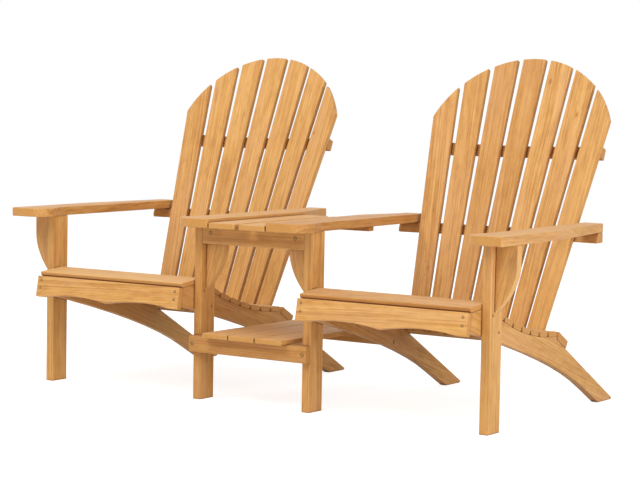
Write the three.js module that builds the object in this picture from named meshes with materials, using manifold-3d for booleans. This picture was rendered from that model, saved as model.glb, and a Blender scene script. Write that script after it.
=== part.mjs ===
// A double garden lounge chair of teak boards: two reclined fan-back chairs, a table and a shelf between them.
// Millimetres, Z up, X across both chairs, Y from front to back, origin on the floor under the middle.
import * as THREE from "three";
import { mergeVertices } from "three/addons/utils/BufferGeometryUtils.js";
import Module from "manifold-3d";

const wasm = await Module();
wasm.setup();

// Fits and edges of all boards
const FIT = 0.3;
const EASED_EDGE = 2;
const BAR_EDGE = 3;
const CUT_OVERRUN = 60;
const EDGE_STEPS = 2;
const CURVE_STEPS = 8;

// Width over the stringers of one chair
const FRAME_WIDTH = 538;

// Front legs, one outside each stringer
const LEG_THICKNESS = 27;
const LEG_DEPTH = 64;
const LEG_HEIGHT = 504;

// Stringers: the long slanted side boards that end as rear feet
const STRINGER_THICKNESS = 24;
const STRINGER_FRONT_DROP = 89.5;
const UNDERSIDE_ANGLE = THREE.MathUtils.degToRad(13.5);
const TAIL_LINE_START_Y = 439;
const TAIL_LINE_START_DROP = 23;
const TAIL_TIP_Y = 808;
const TAIL_TIP_HEIGHT = 5;
const TAIL_DEPTH = 50;
const TAIL_STRAIGHT_LENGTH = 111;
const FOOT_LENGTH = 80;
const FOOT_HEEL_CHAMFER = 8;

// Seat: a front slat that slopes to its nose and a dished row of slats behind it
const SEAT_HEIGHT = 349;
const SEAT_DISH_DEPTH = 114;
const SEAT_LOW_Y = 446;
const FRONT_SLAT_OVERHANG = 58;
const FRONT_SLAT_DEPTH = 90;
const FRONT_SLAT_THICKNESS = 14;
const NOSE_DROP = 10;
const NOSE_ROUND = 7;
const SEAT_SLAT_THICKNESS = 14.5;
const SEAT_SLAT_WIDTH = 44.6;
const SEAT_SLAT_GAP = 8;
const SINGLE_SEAT_SLATS = 2;
const REAR_RAIL_WIDTH = 67;
const REAR_RAIL_THICKNESS = 24;

// Joined slats: a strip hidden over each stringer
const STRIP_LENGTH = 18;
const STRIP_LAP = 2.5;
const STRIP_HEIGHT = 7;

// Apron below the seat's front, leaning back
const APRON_THICKNESS = 20;
const APRON_HEIGHT = 62.5;
const APRON_OVERHANG = 80;
const APRON_BOTTOM_DROP = 83;
const APRON_LEAN = THREE.MathUtils.degToRad(10.5);
const ARCH_RISE = 20;
const ARCH_END_FLAT = 32;
const ARCH_CUSP_DROP = 3;

// Fan back of tapered slats, set on a shallow curve
const BACK_TILT = THREE.MathUtils.degToRad(22.69);
const BACK_FOOT_Y = 437.8;
const BACK_FOOT_DROP = 39.4;
const BACK_SLAT_COUNT = 7;
const BACK_SLAT_THICKNESS = 16.5;
const BACK_FOOT_MARGIN = 28.6;
const BACK_FOOT_GAP = 10.3;
const BACK_HEAD_GAP = 17.5;
const BACK_HEAD_SPREAD = 26.2;
const BACK_HEAD_LINE = 778;
const BACK_ARC_CENTRE = 563;
const BACK_ARC_MARGIN = 34.5;
const BACK_FOOT_BOW = 0.9;
const BACK_HEAD_BOW = 1.75;

// Batten behind the back
const BATTEN_OVERHANG = 13;
const BATTEN_WIDTH = 35;
const BATTEN_THICKNESS = 26;
const BATTEN_START = 567;

// Arms and the rail under their rear ends
const ARM_THICKNESS = 25.5;
const ARM_RISE = THREE.MathUtils.degToRad(0.5);
const OUTER_ARM_WIDTH = 100;
const TABLE_ARM_WIDTH = 105;
const ARM_REAR_WIDTH = 59;
const ARM_OVERHANG = 80;
const ARM_CORNER_STEP = 19;
const ARM_CORNER_WIDTH = 61;
const ARM_CORNER_DEPTH = 60;
const ARM_EASE_LENGTH = 90;
const ARM_OUTER_RADIUS = 10;
const OUTER_ARM_TAPER_LENGTH = 337;
const TABLE_ARM_TAPER_LENGTH = 137;
const ARM_RAIL_BEHIND_BACK = 25.25;
const ARM_RAIL_DEPTH = 40;
const ARM_RAIL_HEIGHT = 30;

// Brackets under the arms
const BRACKET_THICKNESS = 25;
const BRACKET_REACH = 64;
const BRACKET_STRAIGHT = 54;
const BRACKET_CURVE = 130;

// Table between the arms
const TABLE_SLAT_WIDTH = 90;
const TABLE_SLAT_GAP = 14.5;
const TABLE_EDGE_GAP = 1.75;
const TABLE_SLAT_LENGTH = 480;
const TABLE_SLAT_THICKNESS = 16;
const TABLE_FRONT_RAIL_THICKNESS = 20;
const TABLE_FRONT_RAIL_HEIGHT = 52;
const TABLE_REAR_RAIL_THICKNESS = 16.5;
const TABLE_REAR_RAIL_DEPTH = 25;
const TABLE_REAR_RAIL_INSET = 40;

// Shelf below the table
const SHELF_SLAT_COUNT = 3;
const SHELF_SLAT_WIDTH = 90;
const SHELF_SLAT_GAP = 2.5;
const SHELF_SLAT_THICKNESS = 14;
const SHELF_TOP_HEIGHT = 201;
const SHELF_OVERHANG = 50;
const SHELF_END_Y = 415;
const SHELF_SLAT_RADIUS = 6;
const SHELF_RAIL_THICKNESS = 22;
const SHELF_FRONT_RAIL_HEIGHT = 47;
const SHELF_REAR_RAIL_HEIGHT = 34;

// Places that follow from the sizes
const innerFaceX = FRAME_WIDTH / 2 - STRINGER_THICKNESS;
const outerFaceX = FRAME_WIDTH / 2;
const legOuterX = outerFaceX + LEG_THICKNESS;
const crestY = FRONT_SLAT_DEPTH - FRONT_SLAT_OVERHANG;
const noseAngle = Math.atan(NOSE_DROP / FRONT_SLAT_DEPTH);
const tableTopHalfWidth = TABLE_SLAT_WIDTH + TABLE_SLAT_GAP / 2 + TABLE_EDGE_GAP;
const chairX = outerFaceX + TABLE_ARM_WIDTH + tableTopHalfWidth;
const tableHalfWidth = chairX - legOuterX;
const shelfHalfWidth = chairX - outerFaceX;
const seatLowHeight = SEAT_HEIGHT - SEAT_DISH_DEPTH;
const stringerFrontHeight = SEAT_HEIGHT - STRINGER_FRONT_DROP;
const apronBottomHeight = SEAT_HEIGHT - APRON_BOTTOM_DROP;
const tailStartHeight = seatLowHeight - TAIL_LINE_START_DROP;
const tailSlope = (tailStartHeight - TAIL_TIP_HEIGHT) / (TAIL_TIP_Y - TAIL_LINE_START_Y);
const tailAngle = Math.atan(tailSlope);
const backFootHeight = seatLowHeight - BACK_FOOT_DROP;
const backFootPitch = (2 * (innerFaceX - BACK_FOOT_MARGIN) + BACK_FOOT_GAP) / BACK_SLAT_COUNT;
const backHeadPitch = backFootPitch + BACK_HEAD_SPREAD;
const backSlatFootWidth = backFootPitch - BACK_FOOT_GAP;
const backSlatHeadWidth = backHeadPitch - BACK_HEAD_GAP;
const outermostStep = (BACK_SLAT_COUNT - 1) / 2;
const armRailLength = 2 * (outerFaceX + ARM_REAR_WIDTH);
const armEndY = BACK_FOOT_Y + (LEG_HEIGHT - backFootHeight) * Math.tan(BACK_TILT) + ARM_RAIL_BEHIND_BACK;
const chairs = [
  { name: "left_chair", side: -1 },
  { name: "right_chair", side: 1 },
];

// The outer arms taper to their rear end, the table's arms only to the front of the rail under them.
const armForms = {
  outer: { width: OUTER_ARM_WIDTH, taperLength: OUTER_ARM_TAPER_LENGTH, taperEnd: armEndY },
  inner: { width: TABLE_ARM_WIDTH, taperLength: TABLE_ARM_TAPER_LENGTH, taperEnd: armEndY - ARM_RAIL_DEPTH },
};

// Materials: fresh oiled teak, a little different from board to board
const teakFace = { color: 0xcf9449, roughness: 0.55, metalness: 0 };
const teakFrame = { color: 0xc2873f, roughness: 0.58, metalness: 0 };
const teakShade = { color: 0xb4783a, roughness: 0.6, metalness: 0 };
const teakPale = { color: 0xd6a45e, roughness: 0.55, metalness: 0 };

// The plane of a shape laid across the seat: the shape's x runs back and its y runs up.
const profilePlane = new THREE.Matrix4().makeBasis(
  new THREE.Vector3(0, 1, 0),
  new THREE.Vector3(0, 0, 1),
  new THREE.Vector3(1, 0, 0),
);

// The plane of a shape that faces the front: its x runs across, its y runs up and its depth runs to the front.
const facePlane = new THREE.Matrix4().makeBasis(
  new THREE.Vector3(1, 0, 0),
  new THREE.Vector3(0, 0, 1),
  new THREE.Vector3(0, -1, 0),
);

// An outline made into a board with eased edges, between zero and its thickness.
function board(outline, thickness, edge = EASED_EDGE) {
  const geometry = new THREE.ExtrudeGeometry(outline, {
    depth: thickness - 2 * edge,
    bevelThickness: edge,
    bevelSize: edge,
    bevelOffset: -edge,
    bevelSegments: EDGE_STEPS,
    curveSegments: CURVE_STEPS,
  });
  return geometry.translate(0, 0, edge);
}

// A rectangle with round corners, centred.
function roundedRectangle(width, height, radius) {
  const x = width / 2;
  const y = height / 2;
  const shape = new THREE.Shape();
  shape.moveTo(-x + radius, -y);
  shape.lineTo(x - radius, -y);
  shape.quadraticCurveTo(x, -y, x, -y + radius);
  shape.lineTo(x, y - radius);
  shape.quadraticCurveTo(x, y, x - radius, y);
  shape.lineTo(-x + radius, y);
  shape.quadraticCurveTo(-x, y, -x, y - radius);
  shape.lineTo(-x, -y + radius);
  shape.quadraticCurveTo(-x, -y, -x + radius, -y);
  return shape;
}

// A bar with rounded long edges along X, centred.
function barAcross(length, depth, height) {
  const geometry = new THREE.ExtrudeGeometry(roundedRectangle(depth, height, BAR_EDGE), {
    depth: length - 2 * EASED_EDGE,
    bevelThickness: EASED_EDGE,
    bevelSize: EASED_EDGE / 2,
    bevelOffset: -EASED_EDGE / 2,
    bevelSegments: 1,
    curveSegments: EDGE_STEPS,
  });
  return geometry.translate(0, 0, EASED_EDGE - length / 2).applyMatrix4(profilePlane);
}

// A polygon from a list of points.
function polygon(points) {
  return new THREE.Shape(points.map(([x, y]) => new THREE.Vector2(x, y)));
}

// A geometry as a solid that can be joined and cut.
function solid(geometry) {
  const bare = geometry.clone();
  bare.deleteAttribute("normal");
  bare.deleteAttribute("uv");
  const merged = mergeVertices(bare);
  const data = {
    numProp: 3,
    vertProperties: merged.attributes.position.array,
    triVerts: new Uint32Array(merged.index.array),
  };
  return new wasm.Manifold(new wasm.Mesh(data));
}

// A solid back as a geometry.
function geometryOf(body) {
  const mesh = body.getMesh();
  const geometry = new THREE.BufferGeometry();
  geometry.setAttribute("position", new THREE.BufferAttribute(mesh.vertProperties, 3));
  geometry.setIndex(new THREE.BufferAttribute(mesh.triVerts, 1));
  const flat = geometry.toNonIndexed();
  flat.computeVertexNormals();
  return flat;
}

// A named mesh with a material of its own.
function piece(name, geometry, look) {
  const mesh = new THREE.Mesh(geometry, new THREE.MeshStandardMaterial(look));
  mesh.name = name;
  return mesh;
}

// Height of the seat's top at a place behind the front slat.
function seatTop(y) {
  const share = (SEAT_LOW_Y - y) / (SEAT_LOW_Y - crestY);
  return seatLowHeight + SEAT_DISH_DEPTH * share * share;
}

// The place on the seat's curve that lies a straight distance behind another.
function alongSeat(y, distance) {
  let reach = distance;
  for (let turn = 0; turn < CURVE_STEPS; turn += 1) {
    const drop = seatTop(y) - seatTop(y + reach);
    reach = Math.sqrt(distance * distance - drop * drop);
  }
  return y + reach;
}

// Middle, slope and underside of each slat behind the front one.
function seatSlatPlaces() {
  const places = [];
  let start = alongSeat(crestY, SEAT_SLAT_GAP);
  while (alongSeat(start, SEAT_SLAT_WIDTH) < SEAT_LOW_Y) {
    const end = alongSeat(start, SEAT_SLAT_WIDTH);
    const angle = Math.atan2(seatTop(end) - seatTop(start), end - start);
    const sunk = SEAT_SLAT_THICKNESS + FIT;
    const under = [start, end].map((y) => [
      y + sunk * Math.sin(angle),
      seatTop(y) - sunk * Math.cos(angle),
    ]);
    const middle = new THREE.Vector3(
      0,
      (start + end + SEAT_SLAT_THICKNESS * Math.sin(angle)) / 2,
      (seatTop(start) + seatTop(end) - SEAT_SLAT_THICKNESS * Math.cos(angle)) / 2,
    );
    places.push({ angle, middle, under });
    start = alongSeat(end, SEAT_SLAT_GAP);
  }
  return places;
}

// Height of the straight upper edge of a stringer's tail.
function tailTop(y) {
  return tailStartHeight - (y - TAIL_LINE_START_Y) * tailSlope;
}

// The depth at which a sloping line meets the leaning back of the apron, a fit away from it.
function meetApron(heightAtLegs, slope) {
  const lean = Math.tan(APRON_LEAN);
  const backY = (APRON_THICKNESS + FIT) / Math.cos(APRON_LEAN) - APRON_OVERHANG;
  return (backY + (heightAtLegs - apronBottomHeight) * lean) / (1 - slope * lean);
}

// Outline of a stringer from the side.
function stringerOutline() {
  const slope = Math.tan(UNDERSIDE_ANGLE);
  const frontY = meetApron(stringerFrontHeight, -slope);
  const seatSlope = (frontSlatBottom(crestY) - frontSlatBottom(0)) / crestY;
  const frontTopY = meetApron(frontSlatBottom(0) - FIT, seatSlope);
  const underTail = (y) => tailTop(y) - TAIL_DEPTH / Math.cos(tailAngle);
  const footFrontY = TAIL_TIP_Y - FOOT_LENGTH - FOOT_HEEL_CHAMFER;
  const bendEndY = footFrontY - TAIL_STRAIGHT_LENGTH * Math.cos(tailAngle);
  const bendY = (stringerFrontHeight - underTail(0)) / (slope - tailSlope);
  const shape = new THREE.Shape();
  shape.moveTo(frontY, stringerFrontHeight - frontY * slope);
  shape.quadraticCurveTo(bendY, stringerFrontHeight - bendY * slope, bendEndY, underTail(bendEndY));
  shape.lineTo(footFrontY, 0);
  shape.lineTo(TAIL_TIP_Y - FOOT_HEEL_CHAMFER, 0);
  shape.lineTo(TAIL_TIP_Y, TAIL_TIP_HEIGHT);
  shape.lineTo(TAIL_LINE_START_Y, tailStartHeight);
  for (const { under } of seatSlatPlaces().reverse()) {
    shape.lineTo(...under[1]);
    shape.lineTo(...under[0]);
  }
  shape.lineTo(crestUnderY(), frontSlatBottom(crestUnderY()) - FIT);
  shape.lineTo(frontTopY, frontSlatBottom(frontTopY) - FIT);
  return shape;
}

// The depth at which the front slat's underside ends, its rear face leaning like the slat that it meets.
function crestUnderY() {
  const run = SEAT_LOW_Y - crestY;
  const slope = Math.atan2(2 * SEAT_DISH_DEPTH, run);
  return crestY - FRONT_SLAT_THICKNESS * Math.sin(slope);
}

// Height of the front slat's underside.
function frontSlatBottom(y) {
  return SEAT_HEIGHT - (crestY - y) * Math.tan(noseAngle) - FRONT_SLAT_THICKNESS / Math.cos(noseAngle);
}

// Front slat: its top slopes to an eased nose, and its square front face is rounded below.
function frontSlat(name) {
  const alongTop = new THREE.Vector2(Math.cos(noseAngle), Math.sin(noseAngle));
  const downFace = new THREE.Vector2(Math.sin(noseAngle), -Math.cos(noseAngle));
  const nose = new THREE.Vector2(-FRONT_SLAT_OVERHANG, SEAT_HEIGHT - NOSE_DROP);
  const toe = nose.clone().addScaledVector(downFace, FRONT_SLAT_THICKNESS);
  const faceTop = nose.clone().addScaledVector(downFace, BAR_EDGE);
  const faceEnd = toe.clone().addScaledVector(downFace, -NOSE_ROUND);
  const underStart = toe.clone().addScaledVector(alongTop, NOSE_ROUND);
  const topStart = nose.clone().addScaledVector(alongTop, BAR_EDGE);
  const shape = new THREE.Shape();
  shape.moveTo(faceEnd.x, faceEnd.y);
  shape.quadraticCurveTo(toe.x, toe.y, underStart.x, underStart.y);
  shape.lineTo(crestUnderY(), frontSlatBottom(crestUnderY()));
  shape.lineTo(crestY, SEAT_HEIGHT);
  shape.lineTo(topStart.x, topStart.y);
  shape.quadraticCurveTo(nose.x, nose.y, faceTop.x, faceTop.y);
  const geometry = board(shape, FRAME_WIDTH).translate(0, 0, -FRAME_WIDTH / 2);
  return piece(name, geometry.applyMatrix4(profilePlane), teakPale);
}

// One seat slat as a placed geometry.
function seatSlatGeometry(place) {
  const geometry = barAcross(FRAME_WIDTH, SEAT_SLAT_WIDTH, SEAT_SLAT_THICKNESS);
  return geometry.rotateX(place.angle).translate(place.middle.x, place.middle.y, place.middle.z);
}

// Two seat slats with a short strip between them over each stringer.
function joinedSlats(name, first, second) {
  const angle = (first.angle + second.angle) / 2;
  const middle = first.middle.clone().add(second.middle).divideScalar(2);
  let body = solid(seatSlatGeometry(first)).add(solid(seatSlatGeometry(second)));
  for (const side of [-1, 1]) {
    const strip = new THREE.BoxGeometry(STRIP_LENGTH, SEAT_SLAT_GAP + 2 * STRIP_LAP, STRIP_HEIGHT);
    strip.rotateX(angle);
    strip.translate(side * (outerFaceX - STRINGER_THICKNESS / 2), middle.y, middle.z);
    body = body.add(solid(strip));
  }
  return piece(name, geometryOf(body), teakPale);
}

// The row of seat slats: the first two alone, the others in pairs.
function seatSlats(chairName) {
  const places = seatSlatPlaces();
  const alone = places.slice(0, SINGLE_SEAT_SLATS).map((place, index) =>
    piece(chairName + "_seat_slat_" + (index + 2), seatSlatGeometry(place), teakPale));
  const pairs = [];
  for (let index = SINGLE_SEAT_SLATS; index + 1 < places.length; index += 2) {
    const name = chairName + "_seat_slats_" + (index + 2) + "_" + (index + 3);
    pairs.push(joinedSlats(name, places[index], places[index + 1]));
  }
  return [...alone, ...pairs];
}

// Place of a back slat: its centre line runs from a foot to a head, both on the shallow curve of the back.
function backSlatPlace(step) {
  const fan = Math.atan2(step * BACK_HEAD_SPREAD, BACK_HEAD_LINE);
  const lean = Math.atan2(step * step * (BACK_HEAD_BOW - BACK_FOOT_BOW), BACK_HEAD_LINE);
  const turn = Math.atan2(step * (BACK_HEAD_BOW + BACK_FOOT_BOW), (backHeadPitch + backFootPitch) / 2);
  const frame = new THREE.Object3D();
  frame.rotation.order = "ZXY";
  frame.rotation.set(lean, -turn, -fan);
  frame.position.set(step * backFootPitch, 0, step * step * BACK_FOOT_BOW);
  frame.updateMatrix();
  return { fan, matrix: frame.matrix };
}

// The back's own axes from the slats' feet: x across, y up the slope, z forward out of the back.
const backMatrix = new THREE.Matrix4()
  .makeRotationX(Math.PI / 2 - BACK_TILT)
  .setPosition(0, BACK_FOOT_Y, backFootHeight);

// The arc round the tops of all slats passes outside the outermost slat by a margin.
function backArcRadius() {
  const share = BACK_ARC_CENTRE / BACK_HEAD_LINE;
  const middle = outermostStep * (backFootPitch + BACK_HEAD_SPREAD * share);
  const half = (backSlatFootWidth + (backSlatHeadWidth - backSlatFootWidth) * share) / 2;
  return middle + half + BACK_ARC_MARGIN;
}

// Outline of a back slat, tapered and cut round at the top by the arc that all slats share.
function backSlatOutline(step, fan) {
  const radius = backArcRadius();
  const footHalf = backSlatFootWidth / 2;
  const flare = (backSlatHeadWidth - backSlatFootWidth) * Math.cos(fan) / 2 / BACK_HEAD_LINE;
  const acrossBack = -step * backFootPitch;
  const centreX = acrossBack * Math.cos(fan) - BACK_ARC_CENTRE * Math.sin(fan);
  const centreY = acrossBack * Math.sin(fan) + BACK_ARC_CENTRE * Math.cos(fan);
  const corner = (side) => {
    const a = 1 + flare * flare;
    const b = side * flare * (side * footHalf - centreX) - centreY;
    const c = (side * footHalf - centreX) ** 2 + centreY ** 2 - radius ** 2;
    const y = (Math.sqrt(b * b - a * c) - b) / a;
    return { y, x: side * (footHalf + flare * y) };
  };
  const right = corner(1);
  const left = corner(-1);
  const angleTo = (point) => Math.atan2(point.y - centreY, point.x - centreX);
  const shape = new THREE.Shape();
  shape.moveTo(-footHalf, 0);
  shape.lineTo(footHalf, 0);
  shape.absarc(centreX, centreY, radius, angleTo(right), angleTo(left), false);
  return shape;
}

// One slat of the back.
function backSlat(name, step) {
  const { fan, matrix } = backSlatPlace(step);
  const geometry = board(backSlatOutline(step, fan), BACK_SLAT_THICKNESS);
  geometry.translate(0, 0, -BACK_SLAT_THICKNESS).applyMatrix4(matrix).applyMatrix4(backMatrix);
  return piece(name, geometry, teakFace);
}

// The room that the slats take in the rails behind them, one facet for each slat and one beyond each end.
function backRoom() {
  const reach = outermostStep + 1;
  const footHalf = backFootPitch / 2 + FIT;
  const headHalf = backHeadPitch / 2 + FIT;
  let room = null;
  for (let step = -reach; step <= reach; step += 1) {
    const facet = polygon([
      [-footHalf, -CUT_OVERRUN],
      [footHalf, -CUT_OVERRUN],
      [headHalf, BACK_HEAD_LINE],
      [-headHalf, BACK_HEAD_LINE],
    ]);
    const depth = BACK_SLAT_THICKNESS + 2 * FIT + CUT_OVERRUN;
    const geometry = new THREE.ExtrudeGeometry(facet, { depth, bevelEnabled: false });
    geometry.translate(0, 0, CUT_OVERRUN - depth).applyMatrix4(backSlatPlace(step).matrix);
    const body = solid(geometry.applyMatrix4(backMatrix));
    room = room ? room.add(body) : body;
  }
  return room;
}

const slatRoom = backRoom();

// A rail with the room of the slats cut out of its front.
function cutByBack(name, geometry, look) {
  return piece(name, geometryOf(solid(geometry).subtract(slatRoom)), look);
}

// Rail on the tail of the stringers, behind the seat.
function seatRearRail(name) {
  const geometry = barAcross(FRAME_WIDTH, REAR_RAIL_WIDTH, REAR_RAIL_THICKNESS);
  geometry.translate(0, REAR_RAIL_WIDTH / 2, REAR_RAIL_THICKNESS / 2 + FIT);
  geometry.rotateX(-tailAngle);
  geometry.translate(0, TAIL_LINE_START_Y, tailStartHeight);
  return cutByBack(name, geometry, teakFrame);
}

// Batten behind the upper part of the back, parallel to it.
function backBatten(name) {
  const geometry = barAcross(FRAME_WIDTH + 2 * BATTEN_OVERHANG, BATTEN_THICKNESS, BATTEN_WIDTH);
  geometry.translate(0, BATTEN_THICKNESS / 2, BATTEN_START + BATTEN_WIDTH / 2);
  geometry.rotateX(-BACK_TILT).translate(0, BACK_FOOT_Y, backFootHeight);
  return cutByBack(name, geometry, teakFrame);
}

// Rail under the rear ends of a chair's arms.
function armRail(name) {
  const geometry = barAcross(armRailLength, ARM_RAIL_DEPTH, ARM_RAIL_HEIGHT);
  geometry.translate(0, armEndY - ARM_RAIL_DEPTH / 2, -ARM_RAIL_HEIGHT / 2);
  geometry.rotateX(ARM_RISE).translate(0, 0, LEG_HEIGHT - FIT);
  return cutByBack(name, geometry, teakFrame);
}

// Stringer with its inner face toward the seat's middle.
function stringer(name, side) {
  const geometry = board(stringerOutline(), STRINGER_THICKNESS).applyMatrix4(profilePlane);
  geometry.translate(side > 0 ? innerFaceX : -outerFaceX, 0, 0);
  return piece(name, geometry, teakShade);
}

// Front leg outside a stringer.
function leg(name, side) {
  const section = roundedRectangle(LEG_THICKNESS, LEG_DEPTH, BAR_EDGE);
  const mesh = piece(name, board(section, LEG_HEIGHT, EASED_EDGE / 2), teakFace);
  mesh.position.set(side * (outerFaceX + LEG_THICKNESS / 2), LEG_DEPTH / 2, 0);
  return mesh;
}

// Bracket between a leg and its arm, behind the line of the table's front rail.
function bracket(name, side) {
  const shape = new THREE.Shape();
  const straightEnd = -BRACKET_STRAIGHT;
  const tip = straightEnd - BRACKET_CURVE;
  shape.moveTo(0, 0);
  shape.lineTo(0, tip);
  shape.quadraticCurveTo(side * BRACKET_REACH, (straightEnd + tip) / 2, side * BRACKET_REACH, straightEnd);
  shape.lineTo(side * BRACKET_REACH, 0);
  const mesh = piece(name, board(shape, BRACKET_THICKNESS).applyMatrix4(facePlane), teakShade);
  mesh.position.set(side * legOuterX, TABLE_FRONT_RAIL_THICKNESS + BRACKET_THICKNESS, LEG_HEIGHT);
  return mesh;
}

// Sets a mesh on the leg tops, from where the arms and the table rise a little to the back.
function raised(mesh) {
  mesh.position.z = LEG_HEIGHT;
  mesh.rotation.x = ARM_RISE;
  return mesh;
}

// Arm with a round inner front corner and a tapered rear end.
function arm(name, side, { width, taperLength, taperEnd }) {
  const innerX = outerFaceX;
  const rearX = innerX + ARM_REAR_WIDTH;
  const reach = innerX + width;
  const frontY = -ARM_OVERHANG;
  const frontX = innerX - ARM_CORNER_STEP;
  const cornerY = frontY + ARM_CORNER_DEPTH;
  const cornerX = frontX + ARM_CORNER_WIDTH;
  const easeEndY = cornerY + ARM_EASE_LENGTH;
  const shape = new THREE.Shape();
  shape.moveTo(side * cornerX, frontY);
  shape.lineTo(side * (reach - ARM_OUTER_RADIUS), frontY);
  shape.quadraticCurveTo(side * reach, frontY, side * reach, frontY + ARM_OUTER_RADIUS);
  shape.lineTo(side * reach, taperEnd - taperLength);
  shape.lineTo(side * rearX, taperEnd);
  shape.lineTo(side * rearX, armEndY);
  shape.lineTo(side * innerX, armEndY);
  shape.lineTo(side * innerX, easeEndY);
  shape.quadraticCurveTo(side * innerX, (cornerY + easeEndY) / 2, side * frontX, cornerY);
  shape.quadraticCurveTo(side * frontX, frontY, side * cornerX, frontY);
  return raised(piece(name, board(shape, ARM_THICKNESS), teakPale));
}

// Apron with two shallow arches in its lower edge.
function apron(name) {
  const half = FRAME_WIDTH / 2;
  const archEnd = half - ARCH_END_FLAT;
  const shape = new THREE.Shape();
  shape.moveTo(-half, APRON_HEIGHT);
  shape.lineTo(-half, 0);
  shape.lineTo(-archEnd, 0);
  shape.quadraticCurveTo(-archEnd / 2, ARCH_RISE, 0, -ARCH_CUSP_DROP);
  shape.quadraticCurveTo(archEnd / 2, ARCH_RISE, archEnd, 0);
  shape.lineTo(half, 0);
  shape.lineTo(half, APRON_HEIGHT);
  const mesh = piece(name, board(shape, APRON_THICKNESS), teakFace);
  mesh.geometry.translate(0, 0, -APRON_THICKNESS).applyMatrix4(facePlane).rotateX(-APRON_LEAN);
  mesh.position.set(0, -APRON_OVERHANG, apronBottomHeight);
  return mesh;
}

// One chair, with its table side toward the middle.
function chair({ name, side }) {
  const group = new THREE.Group();
  group.position.x = side * chairX;
  for (const [label, way] of [["outer", side], ["inner", -side]]) {
    group.add(stringer(name + "_" + label + "_stringer", way));
    group.add(leg(name + "_" + label + "_leg", way));
    group.add(bracket(name + "_" + label + "_bracket", way));
    group.add(arm(name + "_" + label + "_arm", way, armForms[label]));
  }
  for (let index = 0; index < BACK_SLAT_COUNT; index += 1) {
    group.add(backSlat(name + "_back_slat_" + (index + 1), index - outermostStep));
  }
  group.add(apron(name + "_apron"));
  group.add(frontSlat(name + "_seat_front_slat"));
  group.add(...seatSlats(name));
  group.add(seatRearRail(name + "_seat_rear_rail"));
  group.add(backBatten(name + "_back_batten"));
  group.add(armRail(name + "_arm_rail"));
  return group;
}

// A flat slat along Y, by its front end.
function lengthwiseSlat(name, width, length, thickness, frontY) {
  const geometry = board(roundedRectangle(width, length, SHELF_SLAT_RADIUS), thickness);
  return piece(name, geometry.translate(0, frontY + length / 2, 0), teakPale);
}

// Rail across between the chairs, by its front face and its top.
function crossRail(name, halfLength, depth, height, frontY) {
  const geometry = barAcross(2 * halfLength, depth, height);
  return piece(name, geometry.translate(0, frontY + depth / 2, -height / 2), teakFace);
}

// Table top between the arms.
function table() {
  const group = new THREE.Group();
  const slatX = (TABLE_SLAT_WIDTH + TABLE_SLAT_GAP) / 2;
  for (const { name, side } of chairs) {
    const label = "table_slat_" + name.split("_")[0];
    const slat = raised(lengthwiseSlat(
      label,
      TABLE_SLAT_WIDTH,
      TABLE_SLAT_LENGTH,
      TABLE_SLAT_THICKNESS,
      -ARM_OVERHANG,
    ));
    slat.position.x = side * slatX;
    group.add(slat);
  }
  const frontRail = crossRail("table_front_rail", tableHalfWidth, TABLE_FRONT_RAIL_THICKNESS,
    TABLE_FRONT_RAIL_HEIGHT, 0);
  frontRail.position.z = LEG_HEIGHT;
  const rearRailY = TABLE_SLAT_LENGTH - ARM_OVERHANG - TABLE_REAR_RAIL_INSET - TABLE_REAR_RAIL_DEPTH;
  const rearRail = raised(crossRail("table_rear_rail", tableHalfWidth, TABLE_REAR_RAIL_DEPTH,
    TABLE_REAR_RAIL_THICKNESS, rearRailY));
  rearRail.position.z -= FIT;
  group.add(frontRail, rearRail);
  return group;
}

// Shelf of three slats on two rails.
function shelf() {
  const group = new THREE.Group();
  const underside = SHELF_TOP_HEIGHT - SHELF_SLAT_THICKNESS;
  const length = SHELF_OVERHANG + SHELF_END_Y;
  for (let index = 0; index < SHELF_SLAT_COUNT; index += 1) {
    const name = "shelf_slat_" + (index + 1);
    const slat = lengthwiseSlat(name, SHELF_SLAT_WIDTH, length, SHELF_SLAT_THICKNESS, -SHELF_OVERHANG);
    slat.position.x = (index - (SHELF_SLAT_COUNT - 1) / 2) * (SHELF_SLAT_WIDTH + SHELF_SLAT_GAP);
    group.add(slat);
  }
  group.add(crossRail("shelf_front_rail", shelfHalfWidth, SHELF_RAIL_THICKNESS,
    SHELF_FRONT_RAIL_HEIGHT, -SHELF_RAIL_THICKNESS));
  group.add(crossRail("shelf_rear_rail", shelfHalfWidth, SHELF_RAIL_THICKNESS,
    SHELF_REAR_RAIL_HEIGHT, SHELF_END_Y - SHELF_RAIL_THICKNESS));
  group.position.z = underside;
  return group;
}

// The whole seat, moved so that the origin lies under the middle of its depth.
const seat = new THREE.Group();
seat.position.y = (Math.max(ARM_OVERHANG, APRON_OVERHANG) - TAIL_TIP_Y) / 2;
seat.add(...chairs.map(chair));
seat.add(table());
seat.add(shelf());

export default seat;
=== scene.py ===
"""Looks of a double garden lounge chair of teak boards, laid out as an add-on and run as a script."""
import math
import random

import bmesh
import bpy
import numpy as np
from mathutils import Matrix, Vector


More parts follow.
